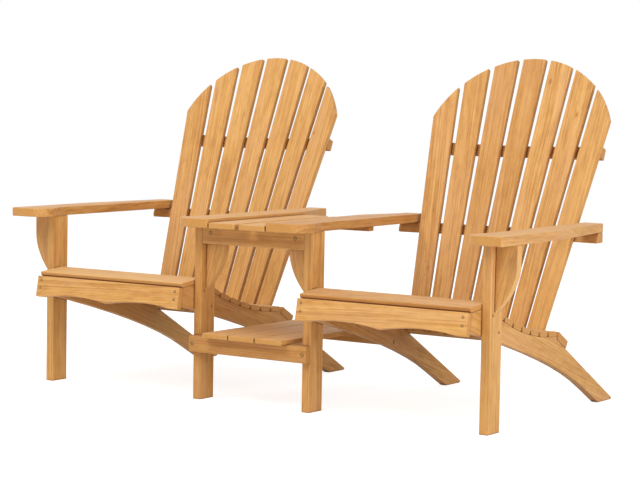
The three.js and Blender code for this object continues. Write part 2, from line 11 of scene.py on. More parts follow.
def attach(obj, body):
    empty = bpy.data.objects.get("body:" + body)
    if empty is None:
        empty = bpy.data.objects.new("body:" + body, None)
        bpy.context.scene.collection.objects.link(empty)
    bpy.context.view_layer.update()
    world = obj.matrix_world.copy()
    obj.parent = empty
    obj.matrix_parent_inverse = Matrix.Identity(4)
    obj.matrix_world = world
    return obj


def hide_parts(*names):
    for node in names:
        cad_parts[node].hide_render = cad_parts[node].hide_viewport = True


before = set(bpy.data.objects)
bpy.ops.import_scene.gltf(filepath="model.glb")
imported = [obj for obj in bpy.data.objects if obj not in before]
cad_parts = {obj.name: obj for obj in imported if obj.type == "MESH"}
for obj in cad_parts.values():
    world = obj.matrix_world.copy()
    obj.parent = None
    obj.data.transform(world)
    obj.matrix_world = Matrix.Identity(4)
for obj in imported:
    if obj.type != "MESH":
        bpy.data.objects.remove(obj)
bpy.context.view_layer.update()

bl_info = {
    "name": "Double lounge chair",
    "version": (1, 0, 0),
    "blender": (4, 5, 0),
    "location": "3D View > Sidebar > Lounge",
    "description": "Dresses the boards, slats and screws of a double garden lounge chair, and its studio",
    "category": "Object",
}

MM = 0.001
# From the middle of one chair to the middle of the other, and each chair's side of the middle plane.
CHAIR_SPACING = 0.946
CHAIRS = {"left_chair": -1, "right_chair": 1}
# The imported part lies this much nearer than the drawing, whose depths start at the front legs.
DEPTH_SHIFT = -0.364

# Behind the front slat the frame holds two seat slats as boards of their own, and the rest in joined pairs.
OWN_SLATS = 2
SLAT_PAIRS = ("4_5", "6_7", "8_9")
# Rounds that settle where a slat's end meets the dish.
SETTLING_ROUNDS = 8
SLAT_SEED = 5
# Where in the trunk a loose seat slat is cut: across, through and along, from and to, in millimetres.
SLAT_CUT = ((-40, 60, -3000), (40, 140, 3000))
# Points on each of its rounded edges.
SLAT_EDGE_POINTS = 4

# A knot radius, in millimetres, that is too small to show.
NO_KNOT = 0.01
# How far the heart of the trunk lies from a board's middle, and how far along it the board is cut, in
# millimetres.
HEART_AWAY = (60, 150)
HEART_ALONG = (-4000, 4000)
# How far chance moves a board's tone up or down.
TONE_SPREAD = 0.04
# Tone of the loose seat slats.
LOOSE_SLAT_TONE = 0.08
# Tones of the boards, up to paler and down to browner, by the first name here that a board's name holds.
# Most are the boards' own tones. The front rails, the back batten and the arm rails are darker partly as
# painted shade, and the left chair's front seat slat is paler partly as a painted highlight on its top.
TONES_AND_PAINTED_LIGHT = {
    "left_chair_outer_leg": 0.16,
    "left_chair_inner_leg": -0.14,
    "right_chair_inner_leg": 0.06,
    "right_chair_outer_leg": 0.2,
    "left_chair_outer_bracket": -0.04,
    "right_chair_inner_bracket": -0.14,
    "bracket": -0.1,
    # Partly painted shade, for the shade that these rails and the batten sit in under and behind other
    # boards.
    "table_front_rail": -0.14,
    "shelf_front_rail": -0.38,
    "back_batten": -0.45,
    "arm_rail": -0.35,
    "rail": -0.2,
    "right_chair_outer_stringer": 0.0,
    "outer_stringer": 0.26,
    "left_chair_inner_stringer": -0.25,
    "stringer": -0.04,
    "left_chair_apron": -0.05,
    "apron": 0.04,
    "right_chair_back_slat_1": -0.14,
    "right_chair_back_slat_2": -0.1,
    "right_chair_back_slat_3": -0.24,
    "right_chair_back_slat_4": -0.24,
    "right_chair_back_slat_6": -0.06,
    "right_chair_back_slat_7": 0.14,
    "left_chair_back_slat_1": -0.04,
    "left_chair_back_slat": 0.08,
    "back_slat": 0.0,
    "table_slat": 0.2,
    "shelf_slat": 0.2,
    "right_chair_inner_arm": -0.22,
    "left_chair_outer_arm": -0.04,
    "arm": 0.12,
    # Partly a painted highlight on the slat's top.
    "left_chair_seat_front_slat": 0.5,
    "seat_front_slat": 0.04,
    "seat_slat": 0.0,
}
# Tones of the narrow edges: a painted highlight on the brackets, painted shade in the seats' gaps,
# and on the front slats' lips a brown that is partly painted shade and partly the edge grain's tone.
# The empty word stands for all the other boards, whose edges are a little browner.
EDGE_TONES_AND_PAINTED_LIGHT = {"bracket": 0.5, "seat_front_slat": -0.45, "seat_slat": -0.7, "": -0.12}
# Knots that the photograph shows: across and along from the board's middle, and radius, in millimetres.
KNOTS = {
    "right_chair_back_slat_5": (-4, 352, 4.5),
    "right_chair_back_slat_6": (22, 268, 4),
    "right_chair_back_slat_1": (8, -190, 3),
    "left_chair_back_slat_7": (-10, 230, 3),
}

# Share of a large screw's size that the small ones in the legs, the aprons and the backs have.
SMALL_SCREW = 0.72
SCREW_SEED = 3
# Points round a screw head or a countersink's ring, and how deep the foot of both lies in the wood.
AROUND = 24
SUNK = 0.3 * MM
# A head's shoulder and the arms of its cross slot as shares of its radius, and how far up from the rim to the
# crown the shoulder is.
SHOULDER = 0.86
SLOT_REACH = 0.58
SHOULDER_RISE = 0.62
# A countersink's ring of painted shade: height of its outer edge, height of its top, width of the slope
# between them, and its inner radius as a share of the head's, so that no gap shows.
RING_EDGE = 0.02 * MM
RING_TOP = 0.12 * MM
RING_SLOPE = 0.3 * MM
RING_INNER = 0.95

# Places of the screws in millimetres. Widths count from a chair's middle, depths from the front of the legs
# and heights from the ground. A pair is a depth and a height.
LEG_FACE = 296
LEG_SCREWS = ((14, 315), (48, 268))
APRON_LEAN = math.radians(10.5)
APRON_FOOT = (-80, 266)
APRON_SCREWS_OUT = 254
APRON_SCREWS_UP = (27, 50)
STRINGER_FACE = 245
STRINGER_SCREW = (404, 164)
BACK_TILT = math.radians(22.69)
BACK_FOOT = (437.8, 195.6)
# The back slats' middles lie this far apart at the foot, and gain the rest on the way up to the line of the
# heads.
BACK_STEP = 63.3
BACK_STEP_GAIN = 26.2
BACK_HEAD_LINE = 778
BATTEN_UP = 584.5
BATTEN_THICKNESS = 26
ARM_RAIL_STEP = 74
ARM_RAIL_SCREWS = (592, 494)
# The screws in the shelf's and the table's front rails: width from the middle of the part, depth and height.
FRONT_RAIL_SCREWS = ((192, -22, 164), (147, 0, 484))

# The camera that was fitted to the photograph: its place in metres, and its turn, tilt down and roll in
# degrees.
CAMERA_PLACE = (3.18308, -4.77741, 0.86012)
CAMERA_ANGLES = (33.789, 4.047, 1.072)
SENSOR_WIDTH = 36
FAR_CLIP = 100
# Each lamp's place, the point that it faces and the side of its square, in metres.
LAMPS = {
    "key": ((-0.6, -2.6, 3.6), (0, 0, 0.4), 3.2),
    "fill": ((4.4, -1.4, 1.5), (0, 0, 0.5), 2.6),
}
FLOOR_RADIUS = 9
FLOOR_SIDES = 64
# To the camera the floor is grey with a glow of its own, which comes out white and keeps a soft shadow.
FLOOR_GREY = "#b3b3b3"
FLOOR_GLOW = 0.82
WHITE = "#ffffff"


def linear(code):
    """An sRGB hex colour as linear values with full alpha."""
    parts = [int(code[i:i + 2], 16) / 255 for i in (1, 3, 5)]
    return [c / 12.92 if c <= 0.04045 else ((c + 0.055) / 1.055) ** 2.4 for c in parts] + [1]


def add(tree, kind, inputs=None, **settings):
    """Adds a node with its settings. An input takes a value, or the output that it is joined to."""
    node = tree.nodes.new(kind)
    for name, value in settings.items():
        setattr(node, name, value)
    for key, value in (inputs or {}).items():
        if isinstance(value, bpy.types.NodeSocket):
            tree.links.new(value, node.inputs[key])
        else:
            node.inputs[key].default_value = value
    return node


def node_group(name, kind, inputs, outputs):
    """A new node group with named sockets of the given kinds, and what its input node gives."""
    tree = bpy.data.node_groups.new(name, kind)
    for way, sockets in (("INPUT", inputs), ("OUTPUT", outputs)):
        for label, sort in sockets.items():
            tree.interface.new_socket(label, in_out=way, socket_type="NodeSocket" + sort)
    return tree, add(tree, "NodeGroupInput").outputs


def emptied(owner):
    """The node tree of a material or a world, with nothing in it."""
    owner.use_nodes = True
    owner.node_tree.nodes.clear()
    return owner.node_tree


def sizes(**lengths):
    """Property annotations for lengths in metres: name to (label, what it is, default)."""
    return {
        key: bpy.props.FloatProperty(name=label, description=text, default=value, unit="LENGTH", precision=4)
        for key, (label, text, value) in lengths.items()
    }


class TeakLooks(bpy.types.PropertyGroup):
    """Colours of freshly oiled teak."""

    pale: bpy.props.StringProperty(name="Pale", description="Light early wood", default="#e1b16c")
    honey: bpy.props.StringProperty(name="Honey", description="The wood's middle colour", default="#d0984c")
    brown: bpy.props.StringProperty(name="Brown", description="Dark late wood and streaks", default="#9c6027")
    blush: bpy.props.StringProperty(name="Blush", description="Pinkish drift in the wood", default="#cf9b68")
    # Painted shade: the dark brown that the joints and crevices are darkened to.
    joint_shade: bpy.props.StringProperty(name="Joint", description="Dark lines in the joints", default="#7a3f0f")


class SeatSizes(bpy.types.PropertyGroup):
    """The dished row of seat slats."""

    __annotations__ = sizes(
        length=("Slat length", "Length of a seat slat across the chair", 0.538),
        width=("Slat width", "Width of a seat slat", 0.0446),
        thickness=("Slat thickness", "Thickness of a seat slat", 0.0145),
        edge=("Edge radius", "Radius of a slat's long edges", 0.003),
        gap=("Gap", "Gap between seat slats", 0.008),
        top=("Crest height", "Height of the seat's top behind the front slat", 0.349),
        low=("Low height", "Height of the seat's lowest place", 0.235),
        crest=("Crest depth", "Depth at which the dish starts", 0.032),
        dip=("Dip depth", "Depth at which the dish is lowest", 0.446),
    )


class ScrewSizes(bpy.types.PropertyGroup):
    """Raised countersunk screws."""

    __annotations__ = sizes(
        radius=("Head radius", "Radius of a large screw head", 0.0042),
        rim=("Rim height", "Height of the head's rim over the wood", 0.0003),
        crown=("Crown height", "Height of the head's middle over the wood", 0.0012),
        slot=("Slot width", "Width of the cross slot's arms", 0.0013),
        sink=("Countersink radius", "Radius of the dark ring round a head", 0.0058),
    )


class StudioLooks(bpy.types.PropertyGroup):
    """White studio, soft lamps and camera."""

    lens: bpy.props.FloatProperty(name="Lens", description="Focal length", default=108.718, unit="CAMERA")
    sky: bpy.props.FloatProperty(name="Sky", description="Strength of the even studio light", default=0.53)
    key: bpy.props.FloatProperty(name="Key", description="Power of the big lamp over the front", default=122,
                                 unit="POWER")
    fill: bpy.props.FloatProperty(name="Fill", description="Power of the lamp at the right", default=95,
                                  unit="POWER")
    floor: bpy.props.StringProperty(name="Floor", description="Colour of the pale floor", default="#f4f4f4")


def teak_grain():
    """Node group that draws solid teak from board coordinates in millimetres: x wide, y thick, z along the
    grain. The heart of the trunk is at x and y zero. A knot size of NO_KNOT stands for no knot."""
    if "teak_grain" in bpy.data.node_groups:
        return bpy.data.node_groups["teak_grain"]
    tree, given = node_group(
        "teak_grain", "ShaderNodeTree",
        {"Board": "Vector", "Facing": "Vector", "Tone": "Float", "Edge": "Float", "Knot": "Vector",
         "Knot size": "Float", "Pale": "Color", "Honey": "Color", "Brown": "Color", "Blush": "Color"},
        {"Color": "Color", "Roughness": "Float", "Height": "Float"})

    def grains(across, along, detail, seed=0.0):
        """Random grains as wide and as long as the two sizes, in millimetres. The seed moves them."""
        scale = (1 / across, 1 / across, 1 / along)
        spread = add(tree, "ShaderNodeVectorMath", {0: given["Board"], 1: scale}, operation="MULTIPLY")
        moved = add(tree, "ShaderNodeVectorMath", {0: spread.outputs[0], 1: (seed, seed, seed)},
                    operation="ADD")
        return add(tree, "ShaderNodeTexNoise", {
            "Vector": moved.outputs[0], "Scale": 1.0, "Detail": detail, "Roughness": 0.55}).outputs

    # A knot is an eye that is longer along the grain, and the rings bend round it.
    off = add(tree, "ShaderNodeVectorMath", {0: given["Board"], 1: given["Knot"]}, operation="SUBTRACT")
    drawn = add(tree, "ShaderNodeVectorMath", {0: off.outputs[0], 1: (1, 0, 0.5)}, operation="MULTIPLY")
    away = add(tree, "ShaderNodeVectorMath", {0: drawn.outputs[0]}, operation="LENGTH").outputs["Value"]
    eyes = add(tree, "ShaderNodeMath", {0: away, 1: given["Knot size"]}, operation="DIVIDE").outputs[0]
    near = add(tree, "ShaderNodeMapRange", {0: eyes, 1: 0, 2: 7, 3: 1, 4: 0})
    bend = add(tree, "ShaderNodeMath", {0: near.outputs[0], 1: 2.0}, operation="POWER").outputs[0]

    # The trunk isn't straight, so the rings wander gently across the board over half a metre of its length.
    wander = add(tree, "ShaderNodeVectorMath", {0: grains(110, 520, 1.5)["Color"], 1: (-0.5, -0.5, -0.5)},
                 operation="ADD")
    bent = add(tree, "ShaderNodeVectorMath", {0: wander.outputs[0], 1: (26, 26, 0), 2: given["Board"]},
               operation="MULTIPLY_ADD")
    flat = add(tree, "ShaderNodeVectorMath", {0: bent.outputs[0], 1: (1, 1, 0)}, operation="MULTIPLY")
    straight = add(tree, "ShaderNodeVectorMath", {0: flat.outputs[0]}, operation="LENGTH").outputs["Value"]
    radius = add(tree, "ShaderNodeMath", {0: bend, 1: 16.0, 2: straight}, operation="MULTIPLY_ADD").outputs[0]

    def rings(apart, detail):
        """Growth rings of uneven width, about as far apart as given, in millimetres."""
        count = add(tree, "ShaderNodeMath", {0: radius, 1: 1 / apart}, operation="MULTIPLY").outputs[0]
        return add(tree, "ShaderNodeTexNoise", {
            "W": count, "Scale": 1.0, "Detail": detail, "Roughness": 0.6}, noise_dimensions="1D").outputs[0]

    # Wet and dry years show as soft bands 14 mm apart, single rings as finer lines 4 mm apart.
    bands = rings(14, 1.5)
    fine = rings(4, 2)
    # Real fibres are far too fine to show, so strands 3 mm wide and lines 1.3 mm wide run the board's length.
    fibre = grains(3, 300, 3, 11)[0]
    line = grains(1.3, 130, 2, 23)[0]
    # Open pores are dark dashes. Real ones, 0.3 mm wide, wouldn't show, so these are 0.8 mm by 12 mm.
    dashes = grains(0.8, 12, 1, 37)[0]
    pore = add(tree, "ShaderNodeMapRange", {0: dashes, 1: 0.62, 2: 0.74, 3: 0, 4: 1}).outputs[0]
    # Broad drifts in colour, and now and then a brown mineral streak 9 mm wide.
    drift = grains(55, 300, 2, 51)[0]
    streak = grains(9, 700, 1.5, 67)[0]
    # Short clouds, 13 mm wide and 45 mm long, where the fibres tilt and take up more or less light.
    mottle = grains(13, 45, 2, 83)[0]
    # Sawn ends and narrow edges: the first drink more oil, and the second take the Edge tone,
    # which on some boards is a painted highlight or painted shade.
    way = add(tree, "ShaderNodeSeparateXYZ", {0: given["Facing"]}).outputs
    ends = add(tree, "ShaderNodeMath", {0: way["Z"]}, operation="ABSOLUTE").outputs[0]
    edges = add(tree, "ShaderNodeMath", {0: way["X"]}, operation="ABSOLUTE").outputs[0]
    browner = add(tree, "ShaderNodeMapRange", {0: given["Edge"], 1: 0, 2: -1, 3: 0, 4: 1}).outputs[0]
    paler = add(tree, "ShaderNodeMapRange", {0: given["Edge"], 1: 0, 2: 1, 3: 0, 4: 1}).outputs[0]

    # Layers of colour over the honey wood: a value, where its tint sets in and where it is full, how far it
    # goes there, and its colour.
    colour = given["Honey"]
    for value, none, full, most, tint in (
        (bands, 0.52, 0.3, 0.6, "Pale"),
        (bands, 0.52, 0.75, 0.34, "Brown"),
        (fine, 0.5, 0.72, 0.34, "Brown"),
        (fine, 0.48, 0.3, 0.25, "Pale"),
        (mottle, 0.5, 0.74, 0.42, "Brown"),
        (mottle, 0.5, 0.28, 0.3, "Pale"),
        (drift, 0.45, 0.68, 0.55, "Blush"),
        (drift, 0.5, 0.3, 0.24, "Brown"),
        (fibre, 0.5, 0.75, 0.5, "Brown"),
        (fibre, 0.48, 0.3, 0.42, "Pale"),
        (line, 0.52, 0.75, 0.32, "Brown"),
        (streak, 0.6, 0.74, 0.42, "Brown"),
        (pore, 0, 1, 0.3, "Brown"),
        (given["Tone"], 0, -1, 1, "Brown"),
        (given["Tone"], 0, 1, 1, "Pale"),
        (eyes, 1.5, 0.35, 0.75, "Brown"),
        (ends, 0.75, 0.95, 0.6, "Honey"),
        (ends, 0.75, 0.95, 0.3, "Brown"),
        (edges, 0.75, 0.95, browner, "Brown"),
        (edges, 0.75, 0.95, paler, "Pale"),
    ):
        share = add(tree, "ShaderNodeMapRange", {0: value, 1: none, 2: full, 3: 0, 4: most}).outputs[0]
        mixed = add(tree, "ShaderNodeMix", {0: share, 6: colour, 7: given[tint]}, data_type="RGBA")
        colour = mixed.outputs[2]

    rough = add(tree, "ShaderNodeMapRange", {0: fine, 1: 0.3, 2: 0.7, 3: 0.5, 4: 0.66}).outputs[0]
    height = add(tree, "ShaderNodeMath", {0: pore, 1: -0.6, 2: line}, operation="MULTIPLY_ADD").outputs[0]
    add(tree, "NodeGroupOutput", {"Color": colour, "Roughness": rough, "Height": height})
    return tree


def teak(name, tone, edge, axes=None, offset=(0, 0, 0), knot=(0, 0, 0), knot_size=NO_KNOT):
    """Teak, planed and oiled: honey brown with straight darker grain, fine open pores and a soft satin sheen.
    With axes the board is cut from object coordinates, otherwise from the piece's own board attribute."""
    material = bpy.data.materials.new(name)
    tree = emptied(material)
    if axes is None:
        board = add(tree, "ShaderNodeAttribute", attribute_name="board").outputs["Vector"]
        facing = add(tree, "ShaderNodeAttribute", attribute_name="facing").outputs["Vector"]
    else:
        turn = axes.to_euler("XYZ")
        place = add(tree, "ShaderNodeTexCoord").outputs
        board = add(tree, "ShaderNodeMapping", {
            "Vector": place["Object"], "Location": offset, "Rotation": turn,
            "Scale": (1 / MM, 1 / MM, 1 / MM)}).outputs[0]
        facing = add(tree, "ShaderNodeMapping", {"Vector": place["Normal"], "Rotation": turn},
                     vector_type="NORMAL").outputs[0]
    looks = bpy.context.scene.lounge_teak
    grain = add(tree, "ShaderNodeGroup", {
        "Board": board, "Facing": facing, "Tone": tone, "Edge": edge, "Knot": knot, "Knot size": knot_size,
        "Pale": linear(looks.pale), "Honey": linear(looks.honey), "Brown": linear(looks.brown),
        "Blush": linear(looks.blush)}, node_tree=teak_grain()).outputs
    # Painted shade: where ambient occlusion finds the wood closed in, within 2 or 3 mm of joints and
    # crevices, the colour darkens to a dark brown line.
    open_to_light = add(tree, "ShaderNodeAmbientOcclusion", {"Distance": 7 * MM}, samples=8).outputs["AO"]
    joint_shade = add(tree, "ShaderNodeMapRange", {0: open_to_light, 1: 0.45, 2: 0.85, 3: 0.8, 4: 0.0})
    colour = add(tree, "ShaderNodeMix", {
        0: joint_shade.outputs[0], 6: grain["Color"], 7: linear(looks.joint_shade)}, data_type="RGBA")
    # Lines and pores give a relief within 0.4 mm.
    bump = add(tree, "ShaderNodeBump", {"Height": grain["Height"], "Strength": 0.35, "Distance": 0.4 * MM})
    wood = add(tree, "ShaderNodeBsdfPrincipled", {
        "Base Color": colour.outputs[2], "Roughness": grain["Roughness"], "Normal": bump.outputs[0],
        "IOR": 1.45, "Specular IOR Level": 0.32, "Sheen Weight": 0.14, "Sheen Roughness": 0.5})
    add(tree, "ShaderNodeOutputMaterial", {"Surface": wood.outputs[0]})
    return material


def speckles(tree, width, dark, light):
    """Specks of a real width in metres, and the two colours that they mix."""
    place = add(tree, "ShaderNodeTexCoord").outputs["Object"]
    specks = add(tree, "ShaderNodeTexNoise", {"Vector": place, "Scale": 1 / width, "Detail": 2.0}).outputs[0]
    colour = add(tree, "ShaderNodeMix", {0: specks, 6: linear(dark), 7: linear(light)}, data_type="RGBA")
    return specks, colour.outputs[2]


def screw_steel():
    """Yellow zinc-plated steel screw heads, turned: small, brown beside the wood, with turning marks. These
    are drawn 0.8 mm wide, because real ones are too fine to show."""
    material = bpy.data.materials.new("steel_yellow_zinc_turned")
    tree = emptied(material)
    marks, colour = speckles(tree, 0.8 * MM, "#8f6f45", "#bd9c69")
    rough = add(tree, "ShaderNodeMapRange", {0: marks, 3: 0.28, 4: 0.45})
    steel = add(tree, "ShaderNodeBsdfPrincipled", {
        "Base Color": colour, "Roughness": rough.outputs[0], "Metallic": 1.0})
    add(tree, "ShaderNodeOutputMaterial", {"Surface": steel.outputs[0]})
    return material


def countersink_shade():
    """Painted shade: a thin dark brown ring round each head, for the shadow in its countersink."""
    material = bpy.data.materials.new("teak_countersunk_ring")
    tree = emptied(material)
    _, colour = speckles(tree, 1.5 * MM, "#4a2a12", "#7d4c22")
    ring = add(tree, "ShaderNodeBsdfPrincipled", {"Base Color": colour, "Roughness": 0.8})
    add(tree, "ShaderNodeOutputMaterial", {"Surface": ring.outputs[0]})
    return material


def board_axes(mesh):
    """Rotation that takes a board's own directions to x wide, y thick and z long, and the board's middle.
    Both come from the spread of its faces."""
    mesh.calc_loop_triangles()
    points = np.array([v.co for v in mesh.vertices])
    corners = points[np.array([t.vertices for t in mesh.loop_triangles])]
    crosses = np.cross(corners[:, 1] - corners[:, 0], corners[:, 2] - corners[:, 0])
    areas = np.linalg.norm(crosses, axis=1)
    middles = corners.mean(1)
    centre = (middles * areas[:, None]).sum(0) / areas.sum()
    spread = np.einsum("i,ij,ik->jk", areas, middles - centre, middles - centre)
    thick, _, long = np.linalg.eigh(spread)[1].T
    long = long * np.sign(long[np.argmax(np.abs(long))])
    thick = thick * np.sign(thick[np.argmax(np.abs(thick))])
    wide = np.cross(thick, long)
    return Matrix((wide, thick, long)), Vector(centre)


def tone_of(name, tones):
    """A board's tone from the first entry whose word its name holds."""
    return next(tone for word, tone in tones.items() if word in name)


class LOUNGE_OT_boards(bpy.types.Operator):
    """Gives each board that the frame holds its own cut of teak"""

    bl_idname = "lounge.boards"
    bl_label = "Dress the boards"

    def execute(self, context):
        for name, board in sorted(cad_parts.items()):
            chance = random.Random(name)
            axes, centre = board_axes(board.data)
            side = chance.uniform(0, 2 * math.pi)
            away = chance.uniform(*HEART_AWAY)
            heart = Vector((away * math.cos(side), away * math.sin(side), chance.uniform(*HEART_ALONG)))
            offset = heart - axes @ centre / MM
            across, along, radius = KNOTS.get(name, (0, 0, NO_KNOT))
            knot = heart + Vector((across, 0, along))
            tone = tone_of(name, TONES_AND_PAINTED_LIGHT) + chance.uniform(-TONE_SPREAD, TONE_SPREAD)
            edge = tone_of(name, EDGE_TONES_AND_PAINTED_LIGHT)
            board.data.materials.clear()
            board.data.materials.append(teak("teak_" + name, tone, edge, axes, offset, knot, radius))
        return {"FINISHED"}


def dish_places(seat):
    """Middle depth, middle height and slope of each slat behind the front one, along the dish."""
    def top(depth):
        """Height of the dish at a depth."""
        share = (seat.dip - depth) / (seat.dip - seat.crest)
        return seat.low + (seat.top - seat.low) * share * share

    def along(depth, distance):
        """Depth at which the dish is a straight distance away from where it is at another depth."""
        reach = distance
        for _ in range(SETTLING_ROUNDS):
            reach = math.sqrt(distance ** 2 - (top(depth) - top(depth + reach)) ** 2)
        return depth + reach

    places = []
    start = along(seat.crest, seat.gap)
    while along(start, seat.width) < seat.dip:
        end = along(start, seat.width)
        slope = math.atan2(top(end) - top(start), end - start)
        places.append((
            (start + end + seat.thickness * math.sin(slope)) / 2 + DEPTH_SHIFT,
            (top(start) + top(end) - seat.thickness * math.cos(slope)) / 2,
            slope,
        ))
        start = along(end, seat.gap)
    return places


def slat_tree():
    """Geometry nodes that lay one eased slat on each point, sloped by the point's own slope."""
    tree, given = node_group(
        "slats_along_a_dish", "GeometryNodeTree",
        {"Geometry": "Geometry", "Length": "Float", "Width": "Float", "Thickness": "Float", "Edge": "Float",
         "Seed": "Int", "Material": "Material"},
        {"Geometry": "Geometry"})

    # A rounded cross section is swept along the slat's length.
    section = add(tree, "GeometryNodeCurvePrimitiveQuadrilateral", {
        "Width": given["Width"], "Height": given["Thickness"]})
    eased = add(tree, "GeometryNodeFilletCurve", {
        "Curve": section.outputs[0], "Count": SLAT_EDGE_POINTS, "Radius": given["Edge"]}, mode="POLY")
    half = add(tree, "ShaderNodeMath", {0: given["Length"], 1: 0.5}, operation="MULTIPLY").outputs[0]
    less = add(tree, "ShaderNodeMath", {0: half, 1: -1.0}, operation="MULTIPLY").outputs[0]
    start = add(tree, "ShaderNodeCombineXYZ", {0: less})
    end = add(tree, "ShaderNodeCombineXYZ", {0: half})
    line = add(tree, "GeometryNodeCurvePrimitiveLine", {"Start": start.outputs[0], "End": end.outputs[0]})
    sweep = add(tree, "GeometryNodeCurveToMesh", {
        "Curve": line.outputs[0], "Profile Curve": eased.outputs[0], "Fill Caps": True})

    # Each slat is laid on its point and turned by the point's slope.
    slope = add(tree, "GeometryNodeInputNamedAttribute", {"Name": "slope"}, data_type="FLOAT")
    turn = add(tree, "ShaderNodeCombineXYZ", {0: slope.outputs["Attribute"]})
    spin = add(tree, "FunctionNodeEulerToRotation", {0: turn.outputs[0]})
    laid = add(tree, "GeometryNodeInstanceOnPoints", {
        "Points": given["Geometry"], "Instance": sweep.outputs[0], "Rotation": spin.outputs[0]})
    # Every slat keeps where it was cut from: its own place in the trunk, in millimetres.
    own = add(tree, "FunctionNodeRandomValue", {
        0: SLAT_CUT[0], 1: SLAT_CUT[1], "Seed": given["Seed"]}, data_type="FLOAT_VECTOR")
    cut = add(tree, "GeometryNodeStoreNamedAttribute", {
        "Geometry": laid.outputs[0], "Name": "cut", "Value": own.outputs[0]},
        data_type="FLOAT_VECTOR", domain="INSTANCE")
    whole = add(tree, "GeometryNodeRealizeInstances", {0: cut.outputs[0]})
    done = add(tree, "GeometryNodeSetMaterial", {
        "Geometry": whole.outputs[0], "Material": given["Material"]})
    add(tree, "NodeGroupOutput", {0: done.outputs[0]})
    return tree


def screw_tree():
    """Geometry nodes that set a screw head, or the ring round it, on each point. It faces the point's own way
    and has a chance spin."""
    tree, given = node_group(
        "screws_on_points", "GeometryNodeTree",
        {"Geometry": "Geometry", "Form": "Object", "Seed": "Int", "Material": "Material"},
        {"Geometry": "Geometry"})
    way = add(tree, "GeometryNodeInputNamedAttribute", {"Name": "way"}, data_type="FLOAT_VECTOR")
    size = add(tree, "GeometryNodeInputNamedAttribute", {"Name": "size"}, data_type="FLOAT")
    form = add(tree, "GeometryNodeObjectInfo", {"Object": given["Form"]})
    spin = add(tree, "FunctionNodeRandomValue", {2: 0.0, 3: math.pi, "Seed": given["Seed"]},
               data_type="FLOAT")
    about = add(tree, "FunctionNodeAxisAngleToRotation", {"Axis": (0, 0, 1), "Angle": spin.outputs[1]})
    facing = add(tree, "FunctionNodeAlignRotationToVector", {
        "Rotation": about.outputs[0], "Vector": way.outputs["Attribute"]}, axis="Z")
    laid = add(tree, "GeometryNodeInstanceOnPoints", {
        "Points": given["Geometry"], "Instance": form.outputs["Geometry"], "Rotation": facing.outputs[0],
        "Scale": size.outputs["Attribute"]})
    whole = add(tree, "GeometryNodeRealizeInstances", {0: laid.outputs[0]})
    done = add(tree, "GeometryNodeSetMaterial", {
        "Geometry": whole.outputs[0], "Material": given["Material"]})
    add(tree, "NodeGroupOutput", {0: done.outputs[0]})
    return tree


def linked(name, data):
    """A mesh, a lamp or a camera as an object in the scene."""
    piece = bpy.data.objects.new(name, data)
    bpy.context.scene.collection.objects.link(piece)
    return piece


def points(name, places, **attributes):
    """An object of loose points, each with its own attributes."""
    mesh = bpy.data.meshes.new(name)
    mesh.from_pydata(places, [], [])
    for key, values in attributes.items():
        wide = isinstance(values[0], tuple)
        kept = mesh.attributes.new(key, "FLOAT_VECTOR" if wide else "FLOAT", "POINT")
        for item, value in zip(kept.data, values):
            setattr(item, "vector" if wide else "value", value)
    return linked(name, mesh)


def grow(piece, tree, **inputs):
    """Runs a geometry nodes tree on a piece and keeps the result as its plain mesh."""
    modifier = piece.modifiers.new("grow", "NODES")
    modifier.node_group = tree
    found = {item.name: item.identifier for item in tree.interface.items_tree if item.in_out == "INPUT"}
    for name, value in inputs.items():
        modifier[found[name]] = value
    view = bpy.context.evaluated_depsgraph_get()
    mesh = bpy.data.meshes.new_from_object(piece.evaluated_get(view), depsgraph=view)
    piece.modifiers.remove(modifier)
    piece.data = mesh
    mesh.name = piece.name


class LOUNGE_OT_seat_slats(bpy.types.Operator):
    """Lays the separate seat slats along the dish of each seat"""

    bl_idname = "lounge.seat_slats"
    bl_label = "Lay the seat slats"

    def execute(self, context):
        seat = context.scene.lounge_seat
        places = dish_places(seat)[OWN_SLATS:]
        if len(places) != 2 * len(SLAT_PAIRS):
            raise RuntimeError(f"the dish holds {len(places)} loose slats and not {2 * len(SLAT_PAIRS)}")
        tree = slat_tree()
        wood = teak("teak_seat_slats", LOOSE_SLAT_TONE, tone_of("seat_slats", EDGE_TONES_AND_PAINTED_LIGHT))
        for seed, (chair, side) in enumerate(CHAIRS.items(), SLAT_SEED):
            x = side * CHAIR_SPACING / 2
            piece = points(chair + "_dish_slats", [(x, y, z) for y, z, _ in places],
                           slope=[slope for _, _, slope in places])
            grow(piece, tree, Length=seat.length, Width=seat.width, Thickness=seat.thickness,
                 Edge=seat.edge, Seed=seed, Material=wood)
            self.mark_boards(piece, x, places)
            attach(piece, "root")
            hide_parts(*[f"{chair}_seat_slats_{pair}" for pair in SLAT_PAIRS])
        return {"FINISHED"}

    def mark_boards(self, piece, x, places):
        """Writes each slat's own board coordinates and facings, for the grain."""
        mesh = piece.data
        cut = [tuple(item.vector) for item in mesh.attributes["cut"].data]
        board = mesh.attributes.new("board", "FLOAT_VECTOR", "POINT")
        facing = mesh.attributes.new("facing", "FLOAT_VECTOR", "CORNER")
        turns = []
        for vertex in mesh.vertices:
            y, z, slope = min(places, key=lambda p: math.hypot(vertex.co.y - p[0], vertex.co.z - p[1]))
            turn = Matrix.Rotation(-slope, 3, "X")
            local = turn @ (vertex.co - Vector((x, y, z)))
            turns.append(turn)
            place = Vector((local.y, local.z, local.x)) / MM
            board.data[vertex.index].vector = place + Vector(cut[vertex.index])
        for face in mesh.polygons:
            for corner in face.loop_indices:
                local = turns[mesh.loops[corner].vertex_index] @ face.normal
                facing.data[corner].vector = (local.y, local.z, local.x)


